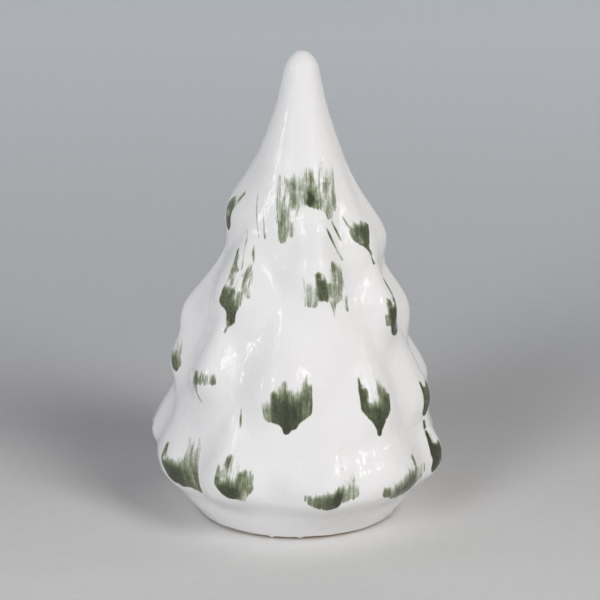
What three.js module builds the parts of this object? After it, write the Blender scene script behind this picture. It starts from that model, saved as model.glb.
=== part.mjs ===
import * as THREE from 'three';

// Overall sizes in millimetres. The front of the tree is -Y, its foot stands on Z = 0.
const height = 120;
const footRadius = 25.4;
const drumRadius = 29.2;
const skirtRadius = 33.4;
const waistRadius = 23.6;
const crownRadius = 9.7;
const domeRadius = 4.3;
const domeHeight = 4.5;
const domeTaper = 0.2;
const apexLean = 1.1;

// Branches: how far one stands out of the valleys, its half breadth, and its lengths above and
// below its tip. Each tier and each branch takes a share of these.
const branchReach = 4.4;
const branchBreadth = 8;
const branchRise = 11;
const branchDrop = 7.4;

// Clay shell
const wallThickness = 4;
const footRingWidth = 3.4;
const footEdge = 0.3;
const recessDepth = 1.6;
const recessDraft = 0.8;
const basePlateThickness = 4;
const pourHoleRadius = 8;
const hollowFillet = 3;
const hollowTopShare = 0.78;
const hollowDomeHeight = 8;
const hollowSoftness = 0.4;

// Glaze skin over the shell
const glazeThickness = 0.5;
const bondClearance = 0.05;
const bareRimHeight = 0.8;
const glazeEdge = 0.2;

// Fineness of the surfaces
const columns = 48;
const flankRings = 38;
const domeRings = 4;
const hollowRings = 16;
const hollowDomeRings = 3;

// Valleys between the branches: share of the height, and radius there
const valleyStations = [
  [0, footRadius],
  [0.04, 0.75 * drumRadius + 0.25 * footRadius],
  [0.075, drumRadius],
  [0.11, 0.5 * (drumRadius + skirtRadius)],
  [0.15, skirtRadius],
  [0.22, 0.97 * skirtRadius],
  [0.335, 0.5 * (skirtRadius + waistRadius)],
  [0.465, waistRadius],
  [0.6, 0.57 * waistRadius + 0.43 * crownRadius],
  [0.7, 0.3 * waistRadius + 0.7 * crownRadius],
  [0.8, crownRadius],
  [0.885, 0.38 * crownRadius + 0.62 * domeRadius],
  [1 - domeHeight / height, domeRadius],
];

// Tiers of branches from the top down, each with its shares of the breadth, rise and drop.
// Each tip has its bearing in degrees from the front towards +X, its height as a share of the
// tree's, and its shares of the reach and of the breadth.
const tiers = [
  {
    breadth: 0.85,
    rise: 0.85,
    drop: 1,
    tips: [
      [-107, 0.665, 0.85, 1.65], [14, 0.65, 0.35, 0.85], [62, 0.61, 0.8, 1.1],
      [85, 0.62, 1, 0.8], [124, 0.655, 0.8, 1], [167, 0.63, 0.8, 1], [-149, 0.64, 0.8, 1],
    ],
  },
  {
    breadth: 0.75,
    rise: 0.85,
    drop: 1.1,
    tips: [
      [-87, 0.45, 1.2, 0.75], [-50, 0.525, 0.95, 1.3], [11, 0.58, 0.85, 1.1],
      [60, 0.49, 1, 0.85], [90, 0.46, 0.85, 0.85], [127, 0.485, 0.9, 1],
      [171, 0.45, 0.9, 1], [-133, 0.485, 0.9, 1],
    ],
  },
  {
    breadth: 1.1,
    rise: 1.05,
    drop: 0.95,
    tips: [
      [-90, 0.345, 1, 0.6], [-50, 0.35, 0.95, 0.8], [-10, 0.34, 0.8, 0.95],
      [40, 0.285, 0.55, 0.85], [72, 0.285, 0.9, 1], [112, 0.28, 1.1, 0.8],
      [150, 0.27, 0.95, 0.8], [-168, 0.305, 0.95, 0.8], [-126, 0.275, 0.95, 0.8],
    ],
  },
  {
    breadth: 1.3,
    rise: 1,
    drop: 0.85,
    tips: [
      [-101, 0.16, 1.15, 1], [-70, 0.105, 1.15, 1.45], [-31, 0.12, 1.35, 0.85],
      [12, 0.105, 1.15, 1.35], [43, 0.115, 1.3, 1.45], [73, 0.12, 1.25, 0.75],
      [102, 0.1, 0.85, 0.9], [134, 0.115, 1.1, 0.9], [166, 0.13, 1.1, 0.9],
      [-160, 0.115, 1.1, 0.9], [-127, 0.125, 1.1, 0.9],
    ],
  },
];
const riseSharpness = 1.8;
const dropSharpness = 2.2;
const branchTaper = 0.45;
const slimmestBranch = 0.35;

// Smooth curve through the valley stations, extended inwards by the dome at the apex
function valleyRadius(z) {
  const last = valleyStations.length - 1;
  const share = THREE.MathUtils.clamp(z / height, 0, valleyStations[last][0]);
  let i = 0;
  while (i < last - 1 && share > valleyStations[i + 1][0]) i += 1;
  const [start, startRadius] = valleyStations[i];
  const [end, endRadius] = valleyStations[i + 1];
  const span = end - start;
  const t = (share - start) / span;
  const leaving = stationSlope(i) * span;
  const arriving = stationSlope(i + 1) * span;
  return startRadius * (2 * t ** 3 - 3 * t ** 2 + 1) + leaving * (t ** 3 - 2 * t ** 2 + t)
    + endRadius * (3 * t ** 2 - 2 * t ** 3) + arriving * (t ** 3 - t ** 2);
}

function stationSlope(i) {
  const last = valleyStations.length - 1;
  const before = segmentSlope(Math.max(i - 1, 0));
  const after = segmentSlope(Math.min(i, last - 1));
  if (i === 0 || i === last) return i === 0 ? after : before;
  const spanBefore = valleyStations[i][0] - valleyStations[i - 1][0];
  const spanAfter = valleyStations[i + 1][0] - valleyStations[i][0];
  return (before * spanAfter + after * spanBefore) / (spanBefore + spanAfter);
}

function segmentSlope(i) {
  const [start, startRadius] = valleyStations[i];
  const [end, endRadius] = valleyStations[i + 1];
  return (endRadius - startRadius) / (end - start);
}

// How far the branches stand out of the valleys. A branch swells slowly from above to its
// rounded tip and falls away below it; where two meet they blend.
function branchRelief(angle, z) {
  const radius = valleyRadius(z);
  let sumOfSquares = 0;
  for (const tier of tiers) {
    const rise = tier.rise * branchRise;
    const drop = tier.drop * branchDrop;
    for (const [bearing, tipShare, reachShare, breadthShare] of tier.tips) {
      const turn = angle - THREE.MathUtils.degToRad(bearing);
      const across = radius * Math.atan2(Math.sin(turn), Math.cos(turn));
      const above = z - tipShare * height;
      const isAbove = above > 0;
      const along = isAbove
        ? Math.exp(-((above / rise) ** riseSharpness))
        : Math.exp(-((-above / drop) ** dropSharpness));
      const slimming = isAbove ? Math.max(slimmestBranch, 1 - branchTaper * above / rise) : 1;
      const halfWidth = tier.breadth * breadthShare * branchBreadth * slimming;
      const swell = reachShare * branchReach * along * Math.exp(-((across / halfWidth) ** 2));
      sumOfSquares += swell ** 2;
    }
  }
  return Math.sqrt(sumOfSquares);
}

// One ring of points at a height, its radius a function of the angle, leaning with the tree
function ring(z, radiusAt) {
  const points = [];
  for (let column = 0; column < columns; column += 1) {
    const angle = (column / columns) * 2 * Math.PI;
    const radius = radiusAt(angle);
    points.push(new THREE.Vector3(
      radius * Math.sin(angle) + leanAt(z),
      -radius * Math.cos(angle),
      z,
    ));
  }
  return points;
}

function leanAt(z) {
  return apexLean * z / height;
}

function axisPoint(z) {
  return new THREE.Vector3(leanAt(z), 0, z);
}

// The tree's outer form at a depth below the glaze, as rings from a low height up to the dome
function treeRings(depth, lowestZ) {
  const rings = [];
  const domeZ = height - domeHeight;
  for (let i = 0; i <= flankRings; i += 1) {
    const z = THREE.MathUtils.lerp(lowestZ, domeZ, i / flankRings);
    rings.push(ring(z, (angle) => valleyRadius(z) + branchRelief(angle, z) - depth));
  }
  for (let i = 1; i < domeRings; i += 1) {
    const rise = (i / domeRings) * (Math.PI / 2);
    const above = (domeHeight - depth) * Math.sin(rise);
    const radius = (domeRadius - domeTaper * above - depth) * Math.cos(rise);
    rings.push(ring(domeZ + above, () => radius));
  }
  return rings;
}

// The hollow inside the shell, as rings from the base plate up to its domed end
function hollowRingList(floorZ) {
  const rings = [];
  const domeZ = hollowTopShare * height;
  const hollowRadius = (angle, z) => (
    valleyRadius(z) + hollowSoftness * branchRelief(angle, z) - wallThickness
  );
  const wallZ = floorZ + hollowFillet;
  rings.push(ring(floorZ, (angle) => hollowRadius(angle, wallZ) - hollowFillet));
  const inset = hollowFillet * (1 - Math.SQRT1_2);
  rings.push(ring(floorZ + inset, (angle) => hollowRadius(angle, wallZ) - inset));
  for (let i = 0; i <= hollowRings; i += 1) {
    const z = THREE.MathUtils.lerp(wallZ, domeZ, i / hollowRings);
    rings.push(ring(z, (angle) => hollowRadius(angle, z)));
  }
  for (let i = 1; i < hollowDomeRings; i += 1) {
    const rise = (i / hollowDomeRings) * (Math.PI / 2);
    const z = domeZ + hollowDomeHeight * Math.sin(rise);
    rings.push(ring(z, (angle) => hollowRadius(angle, domeZ) * Math.cos(rise)));
  }
  return rings;
}

// Closed skin over a run of rings, with a point at each end. The rings start at the apex of
// the tree and go down its outside, so that the faces look away from the material. Each quad is
// split from its upper corner to its lower one beside it, so that nested layers match.
function closedSkin(firstPoint, rings, lastPoint) {
  const points = [firstPoint, ...rings.flat(), lastPoint];
  const index = [];
  const at = (row, column) => 1 + row * columns + (column % columns);
  const end = points.length - 1;
  for (let column = 0; column < columns; column += 1) {
    index.push(0, at(0, column), at(0, column + 1));
    for (let row = 0; row < rings.length - 1; row += 1) {
      const here = at(row, column);
      const beside = at(row, column + 1);
      const next = at(row + 1, column);
      const nextBeside = at(row + 1, column + 1);
      const climbs = rings[row + 1][0].z > rings[row][0].z;
      if (climbs) index.push(here, next, beside, next, nextBeside, beside);
      else index.push(here, next, nextBeside, here, nextBeside, beside);
    }
    const lastRow = rings.length - 1;
    index.push(at(lastRow, column), end, at(lastRow, column + 1));
  }
  const geometry = new THREE.BufferGeometry().setFromPoints(points);
  geometry.setIndex(index);
  geometry.computeVertexNormals();
  return geometry;
}

// Slip-cast shell: apex, branches, drum and bare foot ring outside; a recessed underside with
// the pour hole; and the hollow that the slip was poured out of
function clayBodyGeometry() {
  const depth = glazeThickness + bondClearance;
  const shellRadius = footRadius - depth;
  const plateZ = recessDepth;
  const floorZ = recessDepth + basePlateThickness;
  const outside = treeRings(depth, bareRimHeight).reverse();
  const foot = [
    ring(footEdge, () => shellRadius),
    ring(0, () => shellRadius - footEdge),
    ring(0, () => shellRadius - footRingWidth),
    ring(plateZ, () => shellRadius - footRingWidth - recessDraft),
    ring(plateZ, () => pourHoleRadius),
    ring(floorZ, () => pourHoleRadius),
  ];
  const hollow = hollowRingList(floorZ);
  const ceiling = axisPoint(hollowTopShare * height + hollowDomeHeight);
  return closedSkin(axisPoint(height - depth), [...outside, ...foot, ...hollow], ceiling);
}

// Glass skin over the whole outside, ending in a soft edge above the bare foot ring
function glazeCoatGeometry() {
  const outside = treeRings(0, bareRimHeight + glazeEdge).reverse();
  const inside = treeRings(glazeThickness, bareRimHeight);
  const edge = ring(bareRimHeight, (angle) => (
    valleyRadius(bareRimHeight) + branchRelief(angle, bareRimHeight) - glazeEdge
  ));
  const innerApex = axisPoint(height - glazeThickness);
  return closedSkin(axisPoint(height), [...outside, edge, ...inside], innerApex);
}

const firedClay = new THREE.MeshStandardMaterial({ color: 0xcdb99f, roughness: 0.9, metalness: 0 });
const whiteGlaze = new THREE.MeshStandardMaterial({ color: 0xf3f1ef, roughness: 0.1, metalness: 0 });

const clayBody = new THREE.Mesh(clayBodyGeometry(), firedClay);
clayBody.name = 'clay_body';

const glazeCoat = new THREE.Mesh(glazeCoatGeometry(), whiteGlaze);
glazeCoat.name = 'glaze_coat';

const tree = new THREE.Group();
tree.add(clayBody, glazeCoat);

export default tree;
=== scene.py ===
import math

import bpy
import numpy as np
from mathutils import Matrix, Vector


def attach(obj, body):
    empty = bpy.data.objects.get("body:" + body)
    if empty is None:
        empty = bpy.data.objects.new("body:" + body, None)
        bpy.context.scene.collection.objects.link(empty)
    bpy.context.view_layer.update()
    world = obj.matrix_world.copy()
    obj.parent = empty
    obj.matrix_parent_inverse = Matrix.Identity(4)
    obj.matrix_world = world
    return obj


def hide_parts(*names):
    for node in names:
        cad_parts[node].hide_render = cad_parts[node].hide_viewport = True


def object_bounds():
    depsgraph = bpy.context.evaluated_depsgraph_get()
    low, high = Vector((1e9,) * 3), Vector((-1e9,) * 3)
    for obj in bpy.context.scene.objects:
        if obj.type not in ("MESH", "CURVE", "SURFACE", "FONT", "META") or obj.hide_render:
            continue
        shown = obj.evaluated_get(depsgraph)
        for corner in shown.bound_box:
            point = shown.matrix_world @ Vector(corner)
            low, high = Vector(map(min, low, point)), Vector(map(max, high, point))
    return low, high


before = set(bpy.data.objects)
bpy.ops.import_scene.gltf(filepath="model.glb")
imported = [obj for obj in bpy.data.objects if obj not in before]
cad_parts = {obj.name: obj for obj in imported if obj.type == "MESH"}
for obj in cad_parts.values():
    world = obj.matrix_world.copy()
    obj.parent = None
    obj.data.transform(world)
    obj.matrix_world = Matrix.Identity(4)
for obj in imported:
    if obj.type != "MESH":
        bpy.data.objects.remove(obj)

CAD_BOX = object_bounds()
MM = 0.001

# Form of the tree in millimetres, as in the CAD source
HEIGHT = 120.0
FOOT_RADIUS = 25.4
DRUM_RADIUS = 29.2
SKIRT_RADIUS = 33.4
WAIST_RADIUS = 23.6
CROWN_RADIUS = 9.7
DOME_RADIUS = 4.3
DOME_HEIGHT = 4.5
DOME_TAPER = 0.2
APEX_LEAN = 1.1
VALLEY_STATIONS = (
    (0.0, FOOT_RADIUS),
    (0.04, 0.75 * DRUM_RADIUS + 0.25 * FOOT_RADIUS),
    (0.075, DRUM_RADIUS),
    (0.11, 0.5 * (DRUM_RADIUS + SKIRT_RADIUS)),
    (0.15, SKIRT_RADIUS),
    (0.22, 0.97 * SKIRT_RADIUS),
    (0.335, 0.5 * (SKIRT_RADIUS + WAIST_RADIUS)),
    (0.465, WAIST_RADIUS),
    (0.6, 0.57 * WAIST_RADIUS + 0.43 * CROWN_RADIUS),
    (0.7, 0.3 * WAIST_RADIUS + 0.7 * CROWN_RADIUS),
    (0.8, CROWN_RADIUS),
    (0.885, 0.38 * CROWN_RADIUS + 0.62 * DOME_RADIUS),
    (1 - DOME_HEIGHT / HEIGHT, DOME_RADIUS),
)

# Branches: reach out of the valleys, half breadth, and lengths above and below the tip
BRANCH_REACH = 4.4
BRANCH_BREADTH = 8.0
BRANCH_RISE = 11.0
BRANCH_DROP = 7.4
# Tiers from the top: shares of the breadth, rise and drop, then each tip's bearing in
# degrees from the front, its share of the tree's height, of the reach and of the breadth
TIERS = (
    (0.85, 0.85, 1.0, (
        (-107, 0.665, 0.85, 1.65), (14, 0.65, 0.35, 0.85), (62, 0.61, 0.8, 1.1),
        (85, 0.62, 1.0, 0.8), (124, 0.655, 0.8, 1.0), (167, 0.63, 0.8, 1.0),
        (-149, 0.64, 0.8, 1.0))),
    (0.75, 0.85, 1.1, (
        (-87, 0.45, 1.2, 0.75), (-50, 0.525, 0.95, 1.3), (11, 0.58, 0.85, 1.1),
        (60, 0.49, 1.0, 0.85), (90, 0.46, 0.85, 0.85), (127, 0.485, 0.9, 1.0),
        (171, 0.45, 0.9, 1.0), (-133, 0.485, 0.9, 1.0))),
    (1.1, 1.05, 0.95, (
        (-90, 0.345, 1.0, 0.6), (-50, 0.35, 0.95, 0.8), (-10, 0.34, 0.8, 0.95),
        (40, 0.285, 0.55, 0.85), (72, 0.285, 0.9, 1.0), (112, 0.28, 1.1, 0.8),
        (150, 0.27, 0.95, 0.8), (-168, 0.305, 0.95, 0.8), (-126, 0.275, 0.95, 0.8))),
    (1.3, 1.0, 0.85, (
        (-101, 0.16, 1.15, 1.0), (-70, 0.105, 1.15, 1.45), (-31, 0.12, 1.35, 0.85),
        (12, 0.105, 1.15, 1.35), (43, 0.115, 1.3, 1.45), (73, 0.12, 1.25, 0.75),
        (102, 0.1, 0.85, 0.9), (134, 0.115, 1.1, 0.9), (166, 0.13, 1.1, 0.9),
        (-160, 0.115, 1.1, 0.9), (-127, 0.125, 1.1, 0.9))),
)
RISE_SHARPNESS = 1.8
DROP_SHARPNESS = 2.2
BRANCH_TAPER = 0.45
SLIMMEST_BRANCH = 0.35
BRANCH_SIZES = {
    "Height": HEIGHT, "Branch reach": BRANCH_REACH, "Branch breadth": BRANCH_BREADTH,
    "Branch rise": BRANCH_RISE, "Branch drop": BRANCH_DROP, "Branch taper": BRANCH_TAPER,
    "Slimmest branch": SLIMMEST_BRANCH, "Rise sharpness": RISE_SHARPNESS,
    "Drop sharpness": DROP_SHARPNESS,
}
TIP_MEASURES = ("bearing", "tip_share", "reach_share", "breadth_share", "rise_share",
                "drop_share")
# How far a branch swells a point of the cone: each step's name, operation and inputs
BRANCH_FORMULA = (
    ("turned", "SUBTRACT", "turn", "bearing"),
    ("round", "WRAP", "turned", math.pi, -math.pi),
    ("across", "MULTIPLY", "round", "valley"),
    ("tip_level", "MULTIPLY", "tip_share", "Height"),
    ("above", "SUBTRACT", "level", "tip_level"),
    ("below", "MULTIPLY", "above", -1.0),
    ("rise", "MULTIPLY", "rise_share", "Branch rise"),
    ("drop", "MULTIPLY", "drop_share", "Branch drop"),
    ("over", "MAXIMUM", "above", 0.0),
    ("under", "MAXIMUM", "below", 0.0),
    ("up", "DIVIDE", "over", "rise"),
    ("down", "DIVIDE", "under", "drop"),
    ("fade_up", "POWER", "up", "Rise sharpness"),
    ("fade_down", "POWER", "down", "Drop sharpness"),
    ("taper", "MULTIPLY", "up", "Branch taper"),
    ("left_over", "SUBTRACT", 1.0, "taper"),
    ("slimming", "MAXIMUM", "left_over", "Slimmest branch"),
    ("full_breadth", "MULTIPLY", "breadth_share", "Branch breadth"),
    ("breadth", "MULTIPLY", "full_breadth", "slimming"),
    ("aside", "DIVIDE", "across", "breadth"),
    ("fade_aside", "MULTIPLY", "aside", "aside"),
    ("fade_along", "ADD", "fade_up", "fade_down"),
    ("fade", "ADD", "fade_along", "fade_aside"),
    ("fade_power", "MULTIPLY", "fade", -1.0),
    ("profile", "EXPONENT", "fade_power"),
    ("reach", "MULTIPLY", "reach_share", "Branch reach"),
    ("swelling", "MULTIPLY", "reach", "profile"),
    ("total", "MULTIPLY_ADD", "swelling", "swelling", "swell"),
    ("relief", "SQRT", "swell"),
    ("shown", "MULTIPLY", "relief", "share"),
    ("offset", "MULTIPLY", "shown", MM),
)
# The form stays inside the box of the CAD model: peaks near its sides are eased by this much
BOX_EASE = 0.3

# Glaze: its skin, its lower edge, and its runs over the bare rim by bearing and half width
GLAZE_THICKNESS = 0.35
BARE_RIM_HEIGHT = 0.75
GLAZE_EDGE = 0.25
GLAZE_RUNS = ((-14.6, 0.55), (1.4, 0.6))
RUN_LENGTH = 0.6
# Waves of the lower edge: height, number of waves round the foot, and phase in radians
RIM_WAVES = ((0.10, 3, 1), (0.07, 7, 0), (0.05, 17, 0))
# The inside starts this far above the lower edge, and its rings lie closer together there
INNER_EDGE_RISE = 0.05
INNER_ROW_SPREAD = 1.2

# Clay: its depth under the glaze's surface, and its foot, pour hole and hollow
CLAY_DEPTH = 0.55
WALL_THICKNESS = 4.0
FOOT_RING_WIDTH = 3.4
RECESS_DEPTH = 1.6
BASE_PLATE = 4.0
POUR_HOLE_RADIUS = 8.0
HOLLOW_FILLET = 3.0
HOLLOW_TOP = 0.78 * HEIGHT
HOLLOW_DOME = 8.0
HOLLOW_SOFTNESS = 0.4
LOWEST_WALL_RING = 0.9
# Sponged edges of the foot ring and recess: each step's rise, and how far in it lies
FOOT_EDGE = ((0.45, 0.0), (0.15, 0.1), (0.0, 0.4))
RING_INNER_EDGE = ((0.0, -0.3), (0.2, 0.0))
RECESS_CORNER = ((-0.4, 0.6), (0.0, 1.2))
# One more ring crosses the recess at this share of its radius
RECESS_MIDDLE = 0.6
# Edges of the pour hole: each step's rise, and how far it lies outside the hole's radius
HOLE_LOWER_EDGE = ((0.0, 0.8), (0.25, 0.2), (0.8, 0.0))
HOLE_UPPER_EDGE = ((-0.7, 0.0), (-0.2, 0.3), (0.0, 1.0))

# Brushed dabs. A stroke is its top across, top, bottom across, bottom, half width and load
# of paint, in millimetres from the middle of its dab; across is along the tree's girth.
WIDE_DRY = (
    (-7.8, 4.8, -6.0, -5.4, 0.3, 0.25), (-5.6, 0.6, -5.0, -10.8, 0.8, 0.5),
    (-4.4, -1.2, -4.2, -7.4, 0.6, 0.4), (-3.2, -5.2, -3.2, -8.8, 0.4, 0.25),
    (-5.0, 4.6, -4.2, 0.8, 0.6, 0.4), (-3.8, 6.0, -3.0, -2.6, 1.1, 0.5),
    (-1.6, 6.6, -1.8, 1.0, 0.8, 0.25), (-0.2, 7.0, -0.2, 0.0, 0.6, 0.4),
    (1.8, 6.4, 1.4, 1.0, 1.3, 0.5), (1.2, 3.2, 1.4, -1.4, 1.0, 1.1),
    (3.4, 4.8, 2.4, -2.0, 0.6, 0.45), (4.8, 5.8, 3.8, 0.0, 0.8, 0.25),
    (7.2, 6.6, 5.2, -3.6, 1.1, 0.4), (9.0, 5.8, 6.8, -2.8, 1.0, 0.35),
    (6.8, -0.4, 5.8, -5.2, 0.7, 0.35), (-1.0, -1.2, -1.2, -4.0, 0.4, 0.15),
)
SWEPT = (
    (-0.4, 2.4, -2.0, -1.8, 2.0, 0.75), (-2.0, -1.2, -1.2, -5.4, 1.6, 0.9),
    (2.2, 5.0, 0.6, 2.0, 0.6, 0.6),
)
SHORT_TAIL = (
    (-1.8, 2.2, -2.0, -0.4, 0.7, 0.4), (0.0, 2.6, -1.4, -1.0, 0.8, 0.8),
    (2.2, 2.4, -0.2, -1.6, 1.0, 0.9), (3.4, 2.0, 0.6, -2.0, 0.6, 0.8),
    (-0.4, -1.8, 1.2, -5.4, 0.3, 0.8),
)
SPINDLE = (
    (-5.6, 9.4, -3.0, 5.0, 0.4, 0.7), (-3.2, 5.4, -1.8, 1.2, 0.5, 0.65),
    (-2.4, 1.2, -2.8, -3.6, 1.3, 0.75), (-1.2, 1.0, -1.0, -3.6, 1.3, 0.8),
    (0.0, -1.2, -0.6, -8.0, 1.1, 0.8), (0.8, 0.6, 1.0, -3.2, 0.7, 0.5),
    (1.2, 6.2, 1.6, 0.4, 0.35, 0.55), (2.2, 7.2, 3.6, -1.0, 0.2, 0.2),
    (-1.2, -8.0, -1.8, -10.6, 0.2, 0.6),
)
BROKEN = (
    (-4.6, 1.8, -4.2, -3.0, 0.5, 0.4), (-3.4, 0.8, -3.2, -4.0, 0.5, 0.35),
    (-5.8, 1.2, -5.4, -3.6, 0.2, 0.2), (-2.2, 4.8, -1.2, -1.2, 0.5, 0.85),
    (-1.2, 3.0, -0.8, -2.2, 0.95, 0.9), (0.4, 1.8, 1.0, -2.0, 0.8, 0.55),
    (2.4, 6.6, 2.8, -2.2, 0.7, 0.65), (4.4, 5.4, 4.4, -0.4, 0.8, 0.45),
    (2.8, 1.2, 3.0, -3.2, 0.8, 0.35), (1.2, -2.4, 2.0, -7.0, 0.2, 0.45),
    (5.8, -2.4, 5.6, -6.0, 0.5, 0.35),
)
SICKLE = (
    (2.4, 7.8, 2.4, 2.0, 0.6, 0.95), (2.0, 3.6, 4.4, -4.4, 1.4, 1.0),
    (0.2, 3.6, -0.2, -1.2, 0.5, 0.8), (1.0, 1.6, 2.2, -6.0, 2.0, 1.0),
    (4.6, -1.0, 4.0, -6.4, 1.8, 0.95), (-1.6, -0.2, -1.2, -3.0, 0.6, 0.4),
)
LEAF = (
    (-1.0, 5.0, 1.0, -2.0, 1.0, 0.5), (-2.2, 1.8, -0.2, -3.4, 1.3, 0.7),
)
COMB = (
    (-3.8, 2.2, -3.0, -0.6, 0.8, 0.7), (-1.4, 2.2, -1.2, -0.4, 0.3, 0.5),
    (0.5, 2.2, 0.7, -0.4, 0.35, 0.45), (2.6, 2.8, 3.0, 0.0, 0.7, 0.55),
    (-5.2, -1.0, -3.2, -2.6, 0.3, 0.6), (-3.2, -2.8, -1.4, -5.6, 0.3, 0.35),
)
BOLD = (
    (-5.6, 0.2, -4.8, -4.0, 0.5, 0.5), (-4.4, 0.8, -4.0, -4.2, 0.5, 0.4),
    (-2.8, 3.2, -2.8, -4.4, 0.7, 0.9), (-1.4, 4.4, -1.2, -5.0, 0.9, 0.9),
    (-0.6, 5.6, -0.2, 1.0, 0.2, 0.6), (0.0, 3.4, 0.2, -7.8, 0.7, 1.0),
    (1.6, 3.8, 2.0, -6.4, 0.9, 0.95), (3.4, 3.2, 3.4, -4.4, 0.9, 0.9),
    (5.0, 5.8, 5.0, -3.4, 0.9, 0.7), (6.2, 4.4, 5.8, -2.4, 0.7, 0.6),
)
HEART = (
    (-3.4, 7.2, -3.4, -0.6, 0.4, 0.9), (-2.2, 4.4, -2.8, -1.0, 0.7, 0.8),
    (-1.4, 1.2, -1.6, -3.0, 1.0, 0.8), (0.8, 1.4, 0.2, -5.0, 1.2, 0.95),
    (0.2, -4.0, 0.0, -7.6, 0.5, 0.9), (2.2, 6.0, 1.6, -1.6, 0.9, 0.7),
    (4.0, 4.0, 2.2, -2.8, 0.9, 0.85), (4.6, 2.0, 3.2, -1.4, 0.7, 0.8),
)
FORK = (
    (0.2, 4.6, 0.2, 0.0, 0.5, 0.85), (4.4, 3.4, 1.8, -2.4, 1.7, 0.9),
    (1.2, -1.0, 0.6, -4.4, 1.3, 0.95),
)
SKIRT = (
    (-6.8, 4.6, -7.2, -0.4, 0.5, 0.75), (-6.6, 0.4, -6.0, -2.2, 1.3, 0.9),
    (-4.4, 1.6, -5.0, -4.4, 1.0, 1.05), (-2.2, 1.6, -3.2, -5.0, 1.0, 1.1),
    (0.0, 2.4, -0.6, -5.4, 1.0, 0.9), (1.0, 4.8, 1.8, -4.8, 1.0, 0.75),
    (1.8, 7.0, 4.4, -4.8, 1.0, 0.6), (4.4, 5.8, 6.6, -5.2, 1.3, 0.75),
)
DRIP = (
    (-2.2, 6.4, -2.6, 0.0, 0.45, 0.75), (-4.2, 3.0, -4.0, -0.8, 0.8, 0.55),
    (-2.6, 0.6, -2.6, -2.4, 1.1, 0.9), (-1.6, 1.2, -1.4, -3.8, 0.8, 0.95),
    (-0.4, 1.6, 0.0, -4.0, 0.8, 0.95), (1.0, 2.6, 1.4, -3.0, 0.5, 0.75),
    (2.2, 3.0, 2.6, -2.4, 0.5, 0.6), (3.2, 3.0, 3.6, -1.8, 0.5, 0.4),
    (2.0, -2.6, 2.0, -5.2, 0.5, 0.3), (-0.8, 4.2, -0.4, 1.2, 0.7, 0.35),
)
FRINGE = (
    (-6.2, 0.2, -6.2, -1.8, 0.5, 0.45), (-4.6, 0.0, -4.8, -2.8, 0.8, 0.55),
    (-3.0, 0.4, -3.0, -3.6, 0.8, 0.7), (-1.4, 1.2, -1.0, -4.2, 0.8, 0.75),
    (0.0, 0.6, 0.4, -3.6, 0.8, 0.8), (2.4, 2.2, 1.0, -3.2, 0.9, 1.05),
    (4.0, 3.4, 3.6, -2.2, 0.5, 0.45), (5.6, 3.6, 5.2, -1.4, 0.8, 0.4),
    (6.6, 2.0, 6.6, -0.8, 0.5, 0.35),
)
CRESCENT = (
    (-5.6, -0.2, -5.4, -3.2, 1.1, 0.65), (-4.0, -0.6, -2.6, -4.4, 1.1, 0.6),
    (-2.0, 0.2, -0.6, -4.6, 1.1, 0.75), (-0.4, 1.4, 2.4, -4.8, 1.1, 0.8),
    (2.6, 2.8, 4.0, -4.0, 1.4, 0.9), (5.2, 5.6, 5.6, -1.0, 0.4, 0.7),
    (4.4, 2.0, 5.4, -2.8, 1.4, 0.85), (8.6, 1.6, 8.6, -1.8, 3.1, 0.2),
)
CUP = (
    (0.5, 6.4, -0.5, 0.0, 0.6, 1.0), (1.7, 2.8, 0.0, -4.4, 1.5, 1.0),
    (3.0, 3.0, 2.0, -3.2, 1.2, 0.95),
)
LINE = ((-1.5, 4.5, 1.5, -4.5, 0.2, 0.3),)
DARK_LINE = ((-1.7, 4.2, 1.7, -4.2, 0.3, 0.6),)
SHORT_LINE = ((-0.8, 2.4, 0.8, -2.4, 0.25, 0.5),)
FAINT_LINE = ((-0.4, 2.4, 0.2, -2.4, 0.2, 0.25),)
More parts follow.
